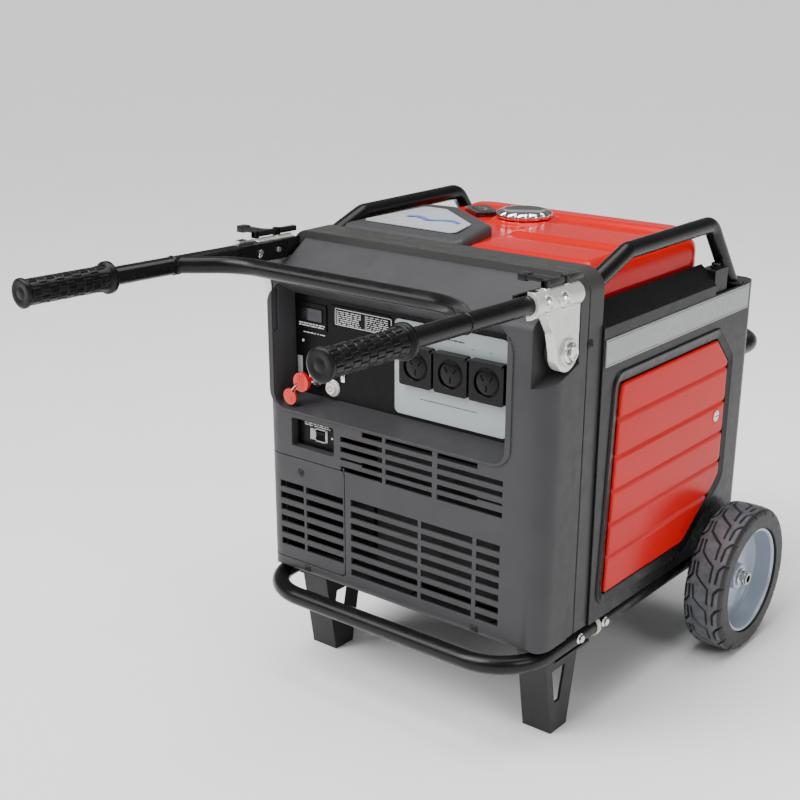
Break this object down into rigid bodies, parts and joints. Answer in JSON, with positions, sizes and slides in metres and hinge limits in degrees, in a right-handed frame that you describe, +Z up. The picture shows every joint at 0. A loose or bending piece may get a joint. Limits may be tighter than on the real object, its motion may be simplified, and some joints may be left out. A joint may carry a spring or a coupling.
{
  "type": "wheeled inverter generator",
  "caption": "Boxy enclosed generator on rear wheels and front legs, with a fold-down handle, lift bars, control recess and hinged side covers.",
  "frame": {"origin": "on the floor, under the middle of the machine's bounding box with the handle extended", "axes": "+X to the right seen from the front, +Y from the handle's grips towards the rear guard, +Z up"},
  "size_m": [0.688, 1.1971, 0.721],
  "materials": {
    "frame_paint": "gloss black powder coat",
    "leg_paint": "satin dark grey paint",
    "axle_steel": "zinc plated",
    "pan_plastic": "matt black",
    "cover_plastic": "satin dark grey, finely textured",
    "hoop_paint": "satin dark grey paint",
    "panel_plastic": "satin black",
    "socket_label": "printed pale grey sheet, print left plain",
    "socket_plastic": "semi-gloss black",
    "display_window": "dark tinted window",
    "zinc": "bright zinc plate",
    "trim_plastic": "semi-gloss black",
    "stripe_label": "silver-grey stripe, print left plain",
    "seal_rubber": "matt black",
    "tank_paint": "gloss red paint",
    "gauge_plastic": "black with a clear window",
    "exhaust_steel": "heat-tinted steel",
    "engine_alloy": "as cast",
    "copper_winding": "varnished copper wire on an iron core",
    "inverter_alloy": "finned, plain",
    "battery_plastic": "matt black",
    "ceramic": "white ceramic and a rubber cap",
    "grip_rubber": "soft black rubber with raised pads",
    "bracket_cast": "cast, silver paint",
    "lever_plastic": "black coated steel",
    "tyre": "matt black rubber",
    "rim_paint": "satin blue-grey paint",
    "chrome": "bright chrome plate",
    "cover_red": "gloss red",
    "key_plastic": "red plastic",
    "button_plastic": "off-white",
    "shaft_steel": "machined",
    "rotor_iron": "plain iron"
  },
  "bodies": {
    "machine": {"under_frame": "frame_paint", "front_bumper": "frame_paint", "front_legs": "leg_paint", "axle": "axle_steel", "base_pan": "pan_plastic", "front_cover": "cover_plastic", "hoop_frame": "hoop_paint", "control_panel": "panel_plastic", "socket_plate": "socket_label", "ac_sockets": "socket_plastic", "display": "display_window", "ignition_switch": "zinc", "switch_housing": "panel_plastic", "side_frame_left": "trim_plastic", "side_frame_right": "trim_plastic", "side_stripes": "stripe_label", "cover_seals": "seal_rubber", "rear_cover": "trim_plastic", "rear_guard": "frame_paint", "fuel_tank": "tank_paint", "info_housing": "cover_plastic", "fuel_gauge": "gauge_plastic", "lift_bar_left": "frame_paint", "lift_bar_right": "frame_paint", "muffler": "exhaust_steel", "crankcase": "engine_alloy", "cylinder_head": "engine_alloy", "stator": "copper_winding", "inverter_unit": "inverter_alloy", "battery": "battery_plastic", "air_cleaner": "trim_plastic", "starter_motor": "frame_paint", "engine_mounts": "seal_rubber", "spark_plug": "ceramic", "fasteners": "zinc", "pivot_pins": "zinc"},
    "handle": {"handle_frame": "frame_paint", "grip_left": "grip_rubber", "grip_right": "grip_rubber", "bracket_left": "bracket_cast", "bracket_right": "bracket_cast", "bracket_bolts": "zinc"},
    "lever_left": {"lock_lever_left": "lever_plastic"},
    "lever_right": {"lock_lever_right": "lever_plastic"},
    "wheel_left": {"tyre_left": "tyre", "rim_left": "rim_paint"},
    "wheel_right": {"tyre_right": "tyre", "rim_right": "rim_paint"},
    "fuel_cap": {"fuel_cap": "chrome"},
    "cover_left": {"service_cover_left": "cover_red"},
    "cover_right": {"service_cover_right": "cover_red"},
    "lock_left": {"cover_lock_left": "zinc"},
    "lock_right": {"cover_lock_right": "zinc"},
    "door": {"front_door": "cover_plastic"},
    "key": {"ignition_key": "key_plastic"},
    "tag": {"key_tag": "key_plastic"},
    "rocker": {"rocker_switch": "panel_plastic"},
    "breaker": {"breaker_button": "button_plastic"},
    "crank": {"crankshaft": "shaft_steel", "rotor": "rotor_iron"}
  },
  "joints": [
    {"name": "handle_fold", "type": "hinge", "parent": "machine", "child": "handle", "pos_m": [0, -0.118, 0.605], "axis": [1, 0, 0], "range_deg": [0, 86]},
    {"name": "lever_left_lift", "type": "hinge", "parent": "handle", "child": "lever_left", "pos_m": [-0.255, -0.13508, 0.70355], "axis": [0, 0.9996, -0.0297], "range_deg": [0, 60], "stiffness_Nm_per_rad": 0.05, "springref_deg": -17.19},
    {"name": "lever_right_lift", "type": "hinge", "parent": "handle", "child": "lever_right", "pos_m": [0.255, -0.13508, 0.70355], "axis": [0, 0.9996, -0.0297], "range_deg": [0, 60], "stiffness_Nm_per_rad": 0.05, "springref_deg": -17.19},
    {"name": "wheel_left_spin", "type": "hinge", "parent": "machine", "child": "wheel_left", "pos_m": [-0.311, 0.36, 0.123], "axis": [1, 0, 0], "continuous": true},
    {"name": "wheel_right_spin", "type": "hinge", "parent": "machine", "child": "wheel_right", "pos_m": [0.311, 0.36, 0.123], "axis": [1, 0, 0], "continuous": true},
    {"name": "fuel_cap_turn", "type": "hinge", "parent": "machine", "child": "fuel_cap", "pos_m": [-0.054, 0.242, 0.7], "axis": [0, 0, 1], "range_deg": [0, 90]},
    {"name": "cover_left_swing", "type": "hinge", "parent": "machine", "child": "cover_left", "pos_m": [-0.2595, 0.012, 0.208], "axis": [0, 0.0499, 0.9988], "range_deg": [0, 100]},
    {"name": "cover_right_swing", "type": "hinge", "parent": "machine", "child": "cover_right", "pos_m": [0.2595, 0.012, 0.208], "axis": [0, -0.0499, -0.9988], "range_deg": [0, 100]},
    {"name": "lock_left_turn", "type": "hinge", "parent": "cover_left", "child": "lock_left", "pos_m": [-0.262, 0.334, 0.4], "axis": [1, 0, 0], "range_deg": [0, 90]},
    {"name": "lock_right_turn", "type": "hinge", "parent": "cover_right", "child": "lock_right", "pos_m": [0.262, 0.334, 0.4], "axis": [1, 0, 0], "range_deg": [0, 90]},
    {"name": "door_swing", "type": "hinge", "parent": "machine", "child": "door", "pos_m": [-0.0975, -0.159, 0.277], "axis": [0, 0, 1], "range_deg": [0, 90]},
    {"name": "key_turn", "type": "hinge", "parent": "machine", "child": "key", "pos_m": [-0.181, -0.14, 0.488], "axis": [0, 1, 0], "range_deg": [0, 90]},
    {"name": "tag_swing", "type": "hinge", "parent": "key", "child": "tag", "pos_m": [-0.19, -0.157, 0.482], "axis": [0, 1, 0], "range_deg": [-16, 20]},
    {"name": "rocker_tilt", "type": "hinge", "parent": "machine", "child": "rocker", "pos_m": [-0.153, -0.14, 0.405], "axis": [1, 0, 0], "range_deg": [-12, 12]},
    {"name": "breaker_press", "type": "slide", "parent": "machine", "child": "breaker", "axis": [0, 1, 0], "range_m": [-0.004, 0]},
    {"name": "crank_spin", "type": "hinge", "parent": "machine", "child": "crank", "pos_m": [0, 0.15, 0.3], "axis": [0, 1, 0], "continuous": true}
  ]
}
